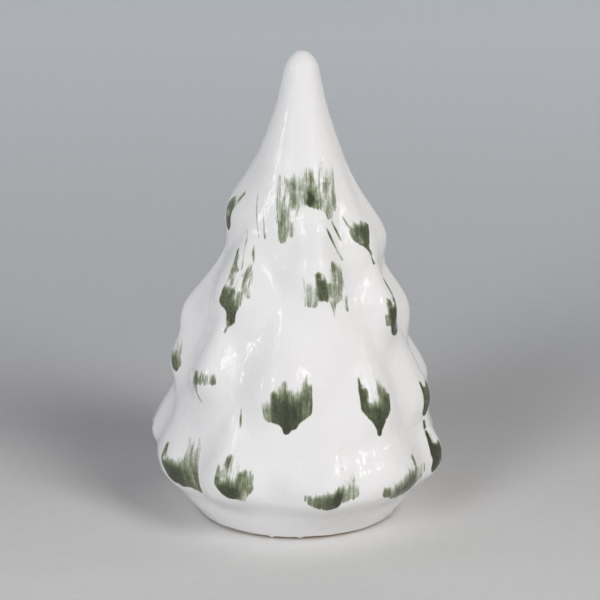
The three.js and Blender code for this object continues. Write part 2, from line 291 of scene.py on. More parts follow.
# Each dab: strokes, bearing in degrees, height of its middle, -1 where it is mirrored, and
# the share of each stroke's length, from its foot, that is full of paint before it fades
DABS = (
    (SWEPT, -78, 80.2, 1, 0.5), (WIDE_DRY, 5, 85.8, 1, 0.55), (SHORT_TAIL, 53, 76.0, 1, 0.6),
    (SPINDLE, -41, 63.0, 1, 0.7), (BROKEN, 17, 64.5, 1, 0.7), (SICKLE, 58, 56.5, 1, 0.85),
    (LEAF, -84, 41.0, 1, 0.4), (COMB, -48, 40.4, 1, 0.5), (BOLD, -6, 38.2, 1, 0.45),
    (HEART, 37, 35.8, 1, 0.5), (FORK, 68, 33.0, 1, 0.8), (SKIRT, -56, 17.5, 1, 0.35),
    (DRIP, -25, 18.5, 1, 0.3), (FRINGE, 13, 16.2, 1, 0.45), (CRESCENT, 44, 16.5, 1, 0.35),
    (CUP, 68, 18.5, 1, 0.85),
    (BROKEN, 122, 80.5, -1, 0.4), (HEART, 166, 77.0, 1, 0.4), (SHORT_TAIL, -149, 78.0, -1, 0.3),
    (SHORT_TAIL, -99, 56.0, 1, 0.3), (DRIP, 126, 60.5, -1, 0.4), (BOLD, 171, 56.0, -1, 0.3),
    (SPINDLE, -134, 61.0, -1, 0.5), (SICKLE, 98, 57.0, 1, 0.3), (HEART, 118, 35.0, -1, 0.5),
    (FRINGE, 149, 34.0, -1, 0.3), (DRIP, -168, 38.5, 1, 0.4), (BOLD, -127, 35.0, -1, 0.5),
    (LEAF, -98, 19.5, -1, 0.2), (SKIRT, 103, 16.5, -1, 0.2), (DRIP, 134, 16.5, -1, 0.3),
    (CRESCENT, 165, 17.5, -1, 0.2), (BOLD, -161, 16.0, 1, 0.2), (SKIRT, -127, 16.5, 1, 0.1),
    (DARK_LINE, 27, 74.5, 1, 0.8), (LINE, -37, 80.0, 1, 0.5), (LINE, -44, 80.0, 1, 0.5),
    (LINE, -47, 72.5, 1, 0.5), (SHORT_LINE, 32, 77.5, 1, 0.5), (SHORT_LINE, 57, 69.5, 1, 0.7),
    (SHORT_LINE, 44, 78.5, 1, 0.5), (SHORT_LINE, -38, 71.5, 1, 0.5),
    (FAINT_LINE, -27, 33.2, 1, 0.5), (LINE, 145, 74.0, 1, 0.5), (LINE, -152, 70.0, 1, 0.5),
)
# A narrow, well loaded stroke is a corner of the brush and holds its paint nearly to its top
CORNER_WIDTH = 0.7
CORNER_LOAD = 0.6
CORNER_FULL = 0.85
# A stroke starts at a round foot, slims upwards, and runs on above its top in stray hairs
FOOT_ROUNDING = 0.8
SHORTEST_RISE = 0.3
STROKE_TAPER = 0.3
STRAY_TOP = 2.5
# Its load fades upwards by this power, and falls below nothing where it narrows and dries up
LOAD_FADE = 0.7
THINNEST_LOAD = -0.6
DRY_NARROWING = 2.0
# Spans over which the outlines and the loads of neighbouring strokes blend
STROKE_BLEND = 0.8
LOAD_BLEND = 0.4
# Beyond this distance from a dab the load falls by so much to a millimetre
DRY_BEYOND = 0.5
DRYING = 2.0
# Distance that stands for no paint, reach of a dab, and shift of the noise from dab to dab
FAR_FROM_PAINT = 3.0
DAB_REACH = 16.0
DAB_SEED = 7.3
# Width and length in millimetres of what the brush leaves, and the detail of its noise
BRISTLE = (0.3, 5.0, 3.0)
TUFT = (1.1, 4.0, 2.0)
BLOT = (0.6, 0.8, 3.0)
# Streaks show the more, the less the load is than this; blots show alike everywhere
STREAKLESS_LOAD = 1.15
STREAK_STRENGTH = 1.05
BLOT_STRENGTH = 0.4
# How far streaks push the outline, and the distances from it where paint starts and is full
RAGGEDNESS = -1.2
PAINT_START = 0.18
PAINT_FULL = -0.22

# Spans of the finishes' patterns in millimetres
POOL_SPAN = 11.0
GLOSS_SPAN = 2.5
RIPPLE_SPAN = 3.0
GRAIN_SPAN = 0.4
CLOUD_SPAN = 8.0
WIPE_SPAN = 1.2
FIBRE_SPAN = 3.3
SPECK_SPAN = 7.0
SPECK_RADIUS = 0.16

# Measures of the finishes, ranges from their low to their high end
NOISE_MIDDLE = 0.5
SOFT_DETAIL = 2.0
GRAIN_DETAIL = 3.0
FIBRE_DETAIL = 4.0
SPECK_SHARE = 0.5
SPECK_FADE = (0.5, 1.5)
CERAMIC_IOR = 1.5
GLOSS_RANGE = (0.3, 0.7)
GLAZE_ROUGHNESS = (0.12, 0.18)
RIPPLE_DEPTH = 0.45
RIPPLE_STRENGTH = 0.5
RIPPLE_STRETCH = (1.0, 1.0, 0.6)
CLAY_ROUGHNESS = 0.85
CLAY_TONE_RANGE = (1.1, 1.9)
GRAIN_STRENGTH = 0.4
PAPER_ROUGHNESS = 0.9
FIBRE_RANGE = (0.2, 0.8)
FIBRE_SHADES = (0.985, 1.015)
SMOOTH = {"interpolation_type": "SMOOTHSTEP"}

# Fineness of the meshes
GLAZE_COLUMNS = 384
GLAZE_ROWS = 208
DOME_ROWS = 15
EDGE_ROWS = 3
INNER_ROWS = 24
CLAY_COLUMNS = 160
CLAY_ROWS = 90
CLAY_DOME_ROWS = 6
HOLLOW_ROWS = 60
FILLET_ROWS = 4

# Floor in metres: it is level round the tree and sweeps up far behind it into a wall
FLOOR_FRONT = -2.5
FLOOR_HALF_WIDTH = 2.5
SWEEP_START = 1.2
SWEEP_RADIUS = 0.8
SWEEP_STEPS = 12
WALL_TOP = 2.4

# Light: the lamps stand around the tree, and the dim walls show in the gloss
LAMP_DISTANCE = 4.0
LAMP_AIM = (0.0, 0.0, 0.05)
LAMP_WHITE = "#ffffff"
# Large lamps: bearing, elevation, width and height in metres, watts and colour
LARGE_LAMPS = {
    "softbox_right": (44, 33, 1.6, 2.2, 90.0, "#fffcf9"),
    "softbox_left": (-34, 20, 1.6, 2.2, 83.0, "#f9faff"),
    "side_right": (102, 13, 1.0, 1.0, 21.0, LAMP_WHITE),
    "side_left": (-104, 9, 1.0, 1.0, 20.0, LAMP_WHITE),
}
# Small lamps that show as glints: bearing, elevation, width in metres and watts
GLINT_LAMPS = (
    (46, 28, 0.45, 4.0), (-34, 29, 0.45, 4.0), (-67, 17, 0.45, 4.0), (66, 24, 0.4, 3.0),
)
STUDIO_WALLS = "#f4f6f8"
STUDIO_LIGHT = 0.02
STUDIO_GLOSS = 0.4

# Camera: the photograph looks down on the middle of the tree
CAMERA_DISTANCE = 700.0
CAMERA_ELEVATION = 16.9
FOCAL_LENGTH = 165.2
SENSOR_WIDTH = 36.0
CLIP_START = 0.05
VIEW_CENTRE = (0.0, 0.0, 58.0)
AIM = (0.64, 0.0, 55.2)

# Colours as sRGB hex
GLAZE_WHITE = "#ecebeb"
GLAZE_SHADE = "#e2e1e0"
# Green paint by its density
PAINT = (
    (0.16, "#d1d4cd"), (0.32, "#acb1a3"), (0.5, "#868d75"), (0.68, "#676e54"),
    (0.84, "#4b513d"), (1.0, "#383d2e"),
)
SPECK_BROWN = "#a79b8c"
CLAY_BUFF = "#b9a283"
CLAY_DARK = "#8f7a5e"
# Paper by its distance in metres behind a line in front of the tree, with painted light and shade:
# darker in a band behind the tree where its shadows fall, lighter far back and just in front
FLOOR_LINE = -0.05
FLOOR_PAINTED_LIGHT_TONES = (
    (0.0, "#e1e2e1"), (0.05, "#d9d8d7"), (0.12, "#c9c8ca"), (0.2, "#c7c9cc"), (0.65, "#dfe4e8"),
)


def linear(hex_colour):
    """Linear RGBA of an sRGB hex colour."""
    channels = []
    for i in (1, 3, 5):
        value = int(hex_colour[i:i + 2], 16) / 255
        low = value / 12.92
        high = ((value + 0.055) / 1.055) ** 2.4
        channels.append(low if value <= 0.04045 else high)
    return (*channels, 1.0)


def wrapped(angle):
    """Angle brought to within half a turn of the front."""
    return (angle + np.pi) % (2 * np.pi) - np.pi


def add_node(tree, kind, settings, inputs):
    """Adds a node with its settings and inputs, and gives its outputs. A socket is linked."""
    node = tree.nodes.new(kind)
    for name, value in settings.items():
        setattr(node, name, value)
    for key, value in inputs.items():
        if isinstance(value, bpy.types.NodeSocket):
            tree.links.new(value, node.inputs[key])
        else:
            node.inputs[key].default_value = value
    return node.outputs


def add_attribute(mesh, name, values):
    """Stores a number or a vector for each point of a mesh."""
    vector = values.ndim == 2
    data = mesh.attributes.new(name, "FLOAT_VECTOR" if vector else "FLOAT", "POINT").data
    data.foreach_set("vector" if vector else "value", values.astype(np.float32).ravel())


# Form of the tree
def valley_radius(level):
    """Radius between the branches, with the dome at the apex."""
    heights = np.array([share * HEIGHT for share, _ in VALLEY_STATIONS])
    radii = np.array([radius for _, radius in VALLEY_STATIONS])
    span = np.diff(heights)
    slope = np.diff(radii) / span
    lean = np.empty(len(heights))
    lean[0] = slope[0]
    lean[-1] = slope[-1]
    lean[1:-1] = (slope[:-1] * span[1:] + slope[1:] * span[:-1]) / (span[1:] + span[:-1])
    flank_level = np.clip(level, 0.0, heights[-1])
    i = np.clip(np.searchsorted(heights, flank_level, side="right") - 1, 0, len(span) - 1)
    t = (flank_level - heights[i]) / span[i]
    flank = (radii[i] * (2 * t**3 - 3 * t**2 + 1) + lean[i] * span[i] * (t**3 - 2 * t**2 + t)
             + radii[i + 1] * (3 * t**2 - 2 * t**3) + lean[i + 1] * span[i] * (t**3 - t**2))
    above = np.clip(level - heights[-1], 0.0, DOME_HEIGHT)
    roundness = np.sqrt(1 - (above / DOME_HEIGHT) ** 2)
    return np.where(level > heights[-1], (DOME_RADIUS - DOME_TAPER * above) * roundness, flank)


def column_angles(columns):
    """Bearings of a mesh's columns in radians from the front."""
    return np.linspace(0, 2 * np.pi, columns, endpoint=False)


def bare_cone(name, turns, rings, first_level, last_level):
    """Closed mesh of the tree before its branches. Its rings run down the outside, each with
    its level, radius and the share of the branches that shows there; a pole closes each end."""
    level, radius, share = (np.array([ring[i] + 0 * turns for ring in rings]) for i in range(3))
    rows, columns = level.shape
    turn = np.concatenate(([0.0], np.tile(turns, rows), [0.0]))
    level = np.concatenate(([first_level], level.ravel(), [last_level]))
    radius = np.concatenate(([0.0], radius.ravel(), [0.0]))
    share = np.concatenate(([0.0], share.ravel(), [0.0]))
    outwards = np.stack((np.sin(turn), -np.cos(turn), 0 * turn), axis=-1)
    axis = np.stack((APEX_LEAN * level / HEIGHT, 0 * level, level), axis=-1)
    points = (axis + radius[:, None] * outwards) * MM
    index = 1 + np.arange(rows * columns).reshape(rows, columns)
    beside = np.roll(index, -1, axis=1)
    quads = np.stack((index[:-1], index[1:], beside[1:], beside[:-1]), axis=-1).reshape(-1, 4)
    last = len(points) - 1
    faces = [tuple(quad) for quad in quads.tolist()]
    faces += [(0, a, b) for a, b in zip(index[0].tolist(), beside[0].tolist())]
    faces += [(a, last, b) for a, b in zip(index[-1].tolist(), beside[-1].tolist())]
    mesh = bpy.data.meshes.new(name)
    mesh.from_pydata(points.tolist(), [], faces)
    mesh.shade_smooth()
    place = {"turn": turn, "level": level, "valley": valley_radius(level), "share": share,
             "outwards": outwards}
    for key, values in place.items():
        add_attribute(mesh, key, values)
    obj = bpy.data.objects.new(name, mesh)
    bpy.context.scene.collection.objects.link(obj)
    return obj


def branch_tips():
    """Helper object with a point for each branch, which holds its bearing and its shares."""
    tips = [(math.radians(bearing), share, reach, breadth * width, rise, drop)
            for breadth, rise, drop, tier in TIERS for bearing, share, reach, width in tier]
    mesh = bpy.data.meshes.new("branch_tips")
    mesh.vertices.add(len(tips))
    for name, values in zip(TIP_MEASURES, np.array(tips).T):
        add_attribute(mesh, name, values)
    return bpy.data.objects.new("branch_tips", mesh)


def branch_growth():
    """Geometry Nodes that swell a bare cone out to its branches, one branch at a time. A branch
    swells slowly from above to its rounded tip and falls away below; where two meet they blend."""
    tree = bpy.data.node_groups.new("branch_growth", "GeometryNodeTree")
    for name, kind in (("Cone", "Geometry"), ("Tips", "Object"), ("Finish", "Material")):
        tree.interface.new_socket(name, in_out="INPUT", socket_type="NodeSocket" + kind)
    for name in BRANCH_SIZES:
        tree.interface.new_socket(name, in_out="INPUT", socket_type="NodeSocketFloat")
    tree.interface.new_socket("Tree", in_out="OUTPUT", socket_type="NodeSocketGeometry")
    given = add_node(tree, "NodeGroupInput", {}, {})
    tips = add_node(tree, "GeometryNodeObjectInfo", {}, {"Object": given["Tips"]})["Geometry"]
    size = add_node(tree, "GeometryNodeAttributeDomainSize", {}, {"Geometry": tips})
    first = tree.nodes.new("GeometryNodeRepeatInput")
    again = tree.nodes.new("GeometryNodeRepeatOutput")
    first.pair_with_output(again)
    tree.links.new(size["Point Count"], first.inputs["Iterations"])
    tree.links.new(given["Cone"], first.inputs["Geometry"])

    # The place of each point of the cone, and the measures of the branch that swells now
    value = {name: given[name] for name in BRANCH_SIZES}
    for name in ("turn", "level", "valley", "share", "swell"):
        value[name] = add_node(tree, "GeometryNodeInputNamedAttribute", {}, {"Name": name})[0]
    for name in TIP_MEASURES:
        stored = add_node(tree, "GeometryNodeInputNamedAttribute", {}, {"Name": name})[0]
        value[name] = add_node(tree, "GeometryNodeSampleIndex", {}, {
            "Geometry": tips, "Value": stored, "Index": first.outputs["Iteration"]})[0]

    # The formula, a step to a node
    for name, operation, *inputs in BRANCH_FORMULA:
        sockets = {i: value.get(given_input, given_input) for i, given_input in enumerate(inputs)}
        value[name] = add_node(tree, "ShaderNodeMath", {"operation": operation}, sockets)[0]
    swollen = add_node(tree, "GeometryNodeStoreNamedAttribute", {}, {
        "Geometry": first.outputs["Geometry"], "Name": "swell", "Value": value["total"]})
    tree.links.new(swollen[0], again.inputs["Geometry"])

    # The sum of all swellings moves the points outwards
    outwards = add_node(tree, "GeometryNodeInputNamedAttribute", {"data_type": "FLOAT_VECTOR"},
                        {"Name": "outwards"})[0]
    move = add_node(tree, "ShaderNodeVectorMath", {"operation": "SCALE"},
                    {"Vector": outwards, "Scale": value["offset"]})[0]
    moved = add_node(tree, "GeometryNodeSetPosition", {},
                     {"Geometry": again.outputs["Geometry"], "Offset": move})[0]
    real = add_node(tree, "GeometryNodeRealizeInstances", {}, {"Geometry": moved})[0]
    finished = add_node(tree, "GeometryNodeSetMaterial", {},
                        {"Geometry": real, "Material": given["Finish"]})[0]
    add_node(tree, "NodeGroupOutput", {}, {"Tree": finished})
    return tree


def grow_branches(obj, growth, tips, finish):
    """Swells an object's branches out of it for good, and gives it its finish."""
    modifier = obj.modifiers.new("branches", "NODES")
    modifier.node_group = growth
    given = {"Tips": tips, "Finish": finish, **BRANCH_SIZES}
    for socket in growth.interface.items_tree:
        if socket.in_out == "INPUT" and socket.name in given:
            modifier[socket.identifier] = given[socket.name]
    grown = obj.evaluated_get(bpy.context.evaluated_depsgraph_get())
    mesh = bpy.data.meshes.new_from_object(grown)
    obj.modifiers.remove(modifier)
    obj.data = mesh
    for name in ("turn", "level", "valley", "share", "swell", "outwards"):
        mesh.attributes.remove(mesh.attributes[name])
    points = np.empty(3 * len(mesh.vertices))
    mesh.vertices.foreach_get("co", points)
    points = eased_into_box(points.reshape(-1, 3))
    mesh.vertices.foreach_set("co", points.ravel())
    mesh.update()
    return points


def eased_into_box(points):
    """Points whose peaks by the four sides of the CAD model's box are eased to stay inside."""
    ease = BOX_EASE * MM
    (low_x, low_y, _), (high_x, high_y, _) = CAD_BOX
    for axis, sign, limit in ((0, 1, high_x), (0, -1, -low_x), (1, 1, high_y), (1, -1, -low_y)):
        beyond = sign * points[:, axis] - (limit - ease)
        eased = limit - ease * np.exp(-np.maximum(beyond, 0) / ease)
        points[:, axis] = np.where(beyond > 0, sign * eased, points[:, axis])
    return points


# Glaze
def rim_level(turn):
    """Lower edge of the glaze, with the two runs that cross the bare rim."""
    wander = sum(wave * np.sin(count * turn + phase) for wave, count, phase in RIM_WAVES)
    level = BARE_RIM_HEIGHT + wander
    for bearing, half_width in GLAZE_RUNS:
        across = FOOT_RADIUS * wrapped(turn - math.radians(bearing))
        level = level - RUN_LENGTH * np.exp(-(across / half_width) ** 2)
    return level


def glaze_rings(turns):
    """Rings of the glaze: down the outside, round its lower edge and back up the inside."""
    dome_level = HEIGHT - DOME_HEIGHT
    edge = rim_level(turns)
    shoulder = edge + GLAZE_EDGE
    rings = []
    for climb in np.linspace(np.pi / 2, 0, DOME_ROWS + 1)[1:]:
        level = dome_level + DOME_HEIGHT * np.sin(climb)
        rings.append((level, valley_radius(level), 1.0))
    for share in np.linspace(1, 0, GLAZE_ROWS)[1:]:
        level = shoulder + share * (dome_level - shoulder)
        rings.append((level, valley_radius(level), 1.0))
    for climb in np.linspace(0, np.pi / 2, EDGE_ROWS + 1)[1:]:
        level = shoulder - GLAZE_EDGE * math.sin(climb)
        rings.append((level, valley_radius(level) - GLAZE_EDGE * (1 - math.cos(climb)), 1.0))
    for share in np.linspace(0, 1, INNER_ROWS):
        level = edge + INNER_EDGE_RISE + share**INNER_ROW_SPREAD * (dome_level - edge)
        rings.append((level, valley_radius(level) - GLAZE_THICKNESS, 1.0))
    return rings


def brush_field(strokes, full, across, up):
    """Distance to a dab's outline, its load of paint and the bristle over each point."""
    distances = []
    loads = []
    bristles = []
    for top_x, top, bottom_x, bottom, half_width, load in strokes:
        foot = bottom + FOOT_ROUNDING * half_width
        run = top_x - bottom_x
        rise = max(top - foot, SHORTEST_RISE)
        along = ((across - bottom_x) * run + (up - foot) * rise) / (run**2 + rise**2)
        nearest = np.clip(along, 0.0, 1 + STRAY_TOP / rise)
        side = across - bottom_x - nearest * run
        beyond = up - foot - nearest * rise
        slim = half_width * (1 - STROKE_TAPER * np.minimum(nearest, 1.0))
        corner = half_width <= CORNER_WIDTH and load >= CORNER_LOAD
        held = CORNER_FULL if corner else full
        left = np.clip((1 - along) / (1 - held), THINNEST_LOAD, 1.0)
        paint = load * np.where(left > 0, np.abs(left) ** LOAD_FADE, left)
        loads.append(paint)
        narrowing = DRY_NARROWING * np.maximum(-paint, 0)
        distances.append(np.hypot(side, beyond) - slim + narrowing)
        bristles.append(0.5 * (top_x + bottom_x) + side)
    distances = np.array(distances)
    closest = distances.min(axis=0)
    weights = np.exp(-(distances - closest) / STROKE_BLEND)
    edge = closest - STROKE_BLEND * np.log(weights.sum(axis=0))
    bristle = np.average(bristles, axis=0, weights=weights)
    load_weights = np.exp(-(distances - closest) / LOAD_BLEND)
    load = np.average(loads, axis=0, weights=load_weights)
    return edge, load, bristle


def paint_fields(turn, level, girth):
    """Distance to the nearest dab, load of paint and brush coordinates over the surface."""
    edge = np.full(turn.shape, FAR_FROM_PAINT)
    load = np.zeros(turn.shape)
    brush = np.zeros((*turn.shape, 3))
    for number, (strokes, bearing, height, mirror, full) in enumerate(DABS):
        turned = wrapped(turn - math.radians(bearing))
        up = level - height
        middle = np.argmin(np.abs(turned) * girth + np.abs(up))
        across = mirror * girth[middle] * turned
        near = (np.abs(across) < DAB_REACH) & (np.abs(up) < DAB_REACH)
        distance, paint, bristle = brush_field(strokes, full, across[near], up[near])
        closer = distance < edge[near]
        points = np.nonzero(near)[0][closer]
        edge[points] = distance[closer]
        load[points] = paint[closer]
        seed = np.full(len(points), DAB_SEED * number)
        brush[points] = np.stack((bristle[closer], up[points], seed), axis=-1)
    load = np.maximum(load - DRYING * np.maximum(edge - DRY_BEYOND, 0), THINNEST_LOAD)
    return edge, load, brush


def make_glaze(growth, tips):
    """Glaze skin with its branches grown and painted, in place of the CAD model's."""
    turns = column_angles(GLAZE_COLUMNS)
    rings = glaze_rings(turns)
    obj = bare_cone("glaze_skin", turns, rings, HEIGHT, HEIGHT - GLAZE_THICKNESS)
    points = grow_branches(obj, growth, tips, glaze_material()) / MM
    level = points[:, 2]
    x = points[:, 0] - APEX_LEAN * level / HEIGHT
    turn = np.arctan2(x, -points[:, 1])
    fields = paint_fields(turn, level, np.hypot(x, points[:, 1]))
    for name, values in zip(("paint_edge", "paint_load", "brush"), fields):
        add_attribute(obj.data, name, values)
    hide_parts("glaze_coat")
    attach(obj, "root")


# Clay
def foot_rings():
    """Rings of the foot: under its ring, across the recess and up through the pour hole."""
    floor = RECESS_DEPTH + BASE_PLATE
    shell = FOOT_RADIUS - CLAY_DEPTH
    recess = shell - FOOT_RING_WIDTH
    foot = [(rise, shell - inset) for rise, inset in FOOT_EDGE]
    foot += [(rise, recess - inset) for rise, inset in RING_INNER_EDGE]
    foot += [(RECESS_DEPTH + rise, recess - inset) for rise, inset in RECESS_CORNER]
    foot.append((RECESS_DEPTH, RECESS_MIDDLE * recess))
    foot += [(RECESS_DEPTH + rise, POUR_HOLE_RADIUS + wider) for rise, wider in HOLE_LOWER_EDGE]
    foot += [(floor + rise, POUR_HOLE_RADIUS + wider) for rise, wider in HOLE_UPPER_EDGE]
    return [(level, radius, 0.0) for level, radius in foot]


def hollow_rings():
    """Rings of the hollow: round its fillet, up its wall and over its dome."""
    wall = RECESS_DEPTH + BASE_PLATE + HOLLOW_FILLET
    rings = []
    for climb in np.linspace(0, np.pi / 2, FILLET_ROWS + 1)[:-1]:
        inset = WALL_THICKNESS + HOLLOW_FILLET * (1 - math.sin(climb))
        level = wall - HOLLOW_FILLET * math.cos(climb)
        rings.append((level, valley_radius(wall) - inset, HOLLOW_SOFTNESS))
    for level in np.linspace(wall, HOLLOW_TOP, HOLLOW_ROWS):
        rings.append((level, valley_radius(level) - WALL_THICKNESS, HOLLOW_SOFTNESS))
    top_radius = valley_radius(HOLLOW_TOP) - WALL_THICKNESS
    for climb in np.linspace(0, np.pi / 2, CLAY_DOME_ROWS + 1)[1:-1]:
        level = HOLLOW_TOP + HOLLOW_DOME * math.sin(climb)
        rings.append((level, top_radius * math.cos(climb), 0.0))
    return rings


def clay_rings():
    """Rings of the clay: down the outside, round the foot and up the hollow."""
    dome_level = HEIGHT - DOME_HEIGHT
    rings = []
    for climb in np.linspace(np.pi / 2, 0, CLAY_DOME_ROWS + 1)[1:-1]:
        level = dome_level + (DOME_HEIGHT - CLAY_DEPTH) * math.sin(climb)
        rings.append((level, (DOME_RADIUS - CLAY_DEPTH) * math.cos(climb), 0.0))
    for level in np.linspace(dome_level, LOWEST_WALL_RING, CLAY_ROWS):
        rings.append((level, valley_radius(level) - CLAY_DEPTH, 1.0))
    return rings + foot_rings() + hollow_rings()


def make_clay(growth, tips):
    """Clay shell with its branches grown, in place of the CAD model's."""
    turns = column_angles(CLAY_COLUMNS)
    rings = clay_rings()
    obj = bare_cone("clay_shell", turns, rings, HEIGHT - CLAY_DEPTH, HOLLOW_TOP + HOLLOW_DOME)
    grow_branches(obj, growth, tips, clay_material())
    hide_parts("clay_body")
    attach(obj, "root")


# Materials
def new_material(name):
    """Material without nodes, and its node tree."""
    material = bpy.data.materials.new(name)
    material.use_nodes = True
    material.node_tree.nodes.clear()
    return material, material.node_tree


def paint_density(tree):
    """How densely the green paint lies, from the edge, load and direction of its strokes."""
    edge = add_node(tree, "ShaderNodeAttribute", {"attribute_name": "paint_edge"}, {})["Fac"]
    load = add_node(tree, "ShaderNodeAttribute", {"attribute_name": "paint_load"}, {})["Fac"]
    brush = add_node(tree, "ShaderNodeAttribute", {"attribute_name": "brush"}, {})["Vector"]

    # Streaks of single bristles and of tufts, and blots, each as wide and long as the real ones
    noises = []
    for width, length, detail in (BRISTLE, TUFT, BLOT):
        stretched = add_node(tree, "ShaderNodeVectorMath", {"operation": "MULTIPLY"},
                             {0: brush, 1: (1 / width, 1 / length, 1.0)})[0]
        noise = add_node(tree, "ShaderNodeTexNoise", {},
                         {"Vector": stretched, "Scale": 1.0, "Detail": detail})[0]
        noises.append(add_node(tree, "ShaderNodeMath", {"operation": "SUBTRACT"},
                               {0: noise, 1: NOISE_MIDDLE})[0])
    streak = add_node(tree, "ShaderNodeMath", {"operation": "ADD"},
                      {0: noises[0], 1: noises[1]})[0]

    # The load thins towards the top of a dab, bristle by bristle
    dry = add_node(tree, "ShaderNodeMath", {"operation": "SUBTRACT"},
                   {0: STREAKLESS_LOAD, 1: load})[0]
    strength = add_node(tree, "ShaderNodeMath", {"operation": "MULTIPLY"},
                        {0: dry, 1: STREAK_STRENGTH})[0]
    spread = add_node(tree, "ShaderNodeMath", {"operation": "MULTIPLY"},
                      {0: streak, 1: strength})[0]
    streaked = add_node(tree, "ShaderNodeMath", {"operation": "ADD"}, {0: load, 1: spread})[0]
    wet = add_node(tree, "ShaderNodeMath", {"operation": "MULTIPLY_ADD"},
                   {0: noises[2], 1: BLOT_STRENGTH, 2: streaked})[0]

    # The outline is firm where the brush is full and ragged where it is dry
    outline = add_node(tree, "ShaderNodeMath", {"operation": "MULTIPLY_ADD"},
                       {0: spread, 1: RAGGEDNESS, 2: edge})[0]
    inside = add_node(tree, "ShaderNodeMapRange", SMOOTH,
                      {0: outline, 1: PAINT_START, 2: PAINT_FULL})[0]
    density = add_node(tree, "ShaderNodeMath", {"operation": "MULTIPLY", "use_clamp": True},
                       {0: inside, 1: wet})[0]
    return density


def white_under_paint(tree, place):
    """White of the glaze, which is bare wherever there is no paint."""
    # The white is a little darker and greyer where the glaze pools thick
    pooling = add_node(tree, "ShaderNodeTexNoise", {},
                       {"Vector": place, "Scale": 1 / (POOL_SPAN * MM), "Detail": SOFT_DETAIL})[0]
    white = add_node(tree, "ShaderNodeMix", {"data_type": "RGBA"},
                     {0: pooling, 6: linear(GLAZE_WHITE), 7: linear(GLAZE_SHADE)})[2]

    # A few specks of iron from the clay come up through the glaze
    cells = add_node(tree, "ShaderNodeTexVoronoi", {},
                     {"Vector": place, "Scale": 1 / (SPECK_SPAN * MM)})
    near = add_node(tree, "ShaderNodeMapRange", SMOOTH, {
        0: cells["Distance"], 1: SPECK_FADE[0] * SPECK_RADIUS / SPECK_SPAN,
        2: SPECK_FADE[1] * SPECK_RADIUS / SPECK_SPAN, 3: 1.0, 4: 0.0})[0]
    chosen = add_node(tree, "ShaderNodeMath", {"operation": "LESS_THAN"},
                      {0: cells["Color"], 1: SPECK_SHARE})[0]
    speck = add_node(tree, "ShaderNodeMath", {"operation": "MULTIPLY"}, {0: near, 1: chosen})[0]
    bare = add_node(tree, "ShaderNodeMix", {"data_type": "RGBA"},
                    {0: speck, 6: white, 7: linear(SPECK_BROWN)})[2]
    return bare


def glaze_surface(tree, place):
    """Roughness and normal of the glaze."""
    # Fired glass: nearly mirror smooth, over a surface rippled by the brush and the mould
    gloss = add_node(tree, "ShaderNodeTexNoise", {},
                     {"Vector": place, "Scale": 1 / (GLOSS_SPAN * MM), "Detail": SOFT_DETAIL})[0]
    roughness = add_node(tree, "ShaderNodeMapRange", SMOOTH, {
        0: gloss, 1: GLOSS_RANGE[0], 2: GLOSS_RANGE[1], 3: GLAZE_ROUGHNESS[0],
        4: GLAZE_ROUGHNESS[1]})[0]
    upright = add_node(tree, "ShaderNodeVectorMath", {"operation": "MULTIPLY"},
                       {0: place, 1: RIPPLE_STRETCH})[0]
    ripple = add_node(tree, "ShaderNodeTexNoise", {},
                      {"Vector": upright, "Scale": 1 / (RIPPLE_SPAN * MM),
                       "Detail": SOFT_DETAIL})[0]
    normal = add_node(tree, "ShaderNodeBump", {}, {
        "Height": ripple, "Strength": RIPPLE_STRENGTH, "Distance": RIPPLE_DEPTH * MM})[0]
    return roughness, normal


def glaze_material():
    """Tin-white earthenware glaze, dipped and fired glossy, with green paint dry-brushed on the
    branch tips and melted in: a wet shine over white, and over streaks of blackish green."""
    material, tree = new_material("white_glaze_brushed_green")
    place = add_node(tree, "ShaderNodeTexCoord", {}, {})["Object"]
    density = paint_density(tree)

    # Thin paint lets the white through; full paint is a blackish green
    green = add_node(tree, "ShaderNodeValToRGB", {}, {0: density})[0]
    elements = green.node.color_ramp.elements
    while len(elements) < len(PAINT):
        elements.new(0.5)
    for element, (position, colour) in zip(elements, PAINT):
        element.position = position
        element.color = linear(colour)
    mask = add_node(tree, "ShaderNodeMapRange", SMOOTH, {0: density, 1: 0.0, 2: PAINT[0][0]})[0]
    bare = white_under_paint(tree, place)
    colour = add_node(tree, "ShaderNodeMix", {"data_type": "RGBA"},
                      {0: mask, 6: bare, 7: green})[2]
    roughness, normal = glaze_surface(tree, place)
    shader = add_node(tree, "ShaderNodeBsdfPrincipled", {}, {
        "Base Color": colour, "Roughness": roughness, "IOR": CERAMIC_IOR, "Normal": normal})[0]
    add_node(tree, "ShaderNodeOutputMaterial", {}, {"Surface": shader})
    return material


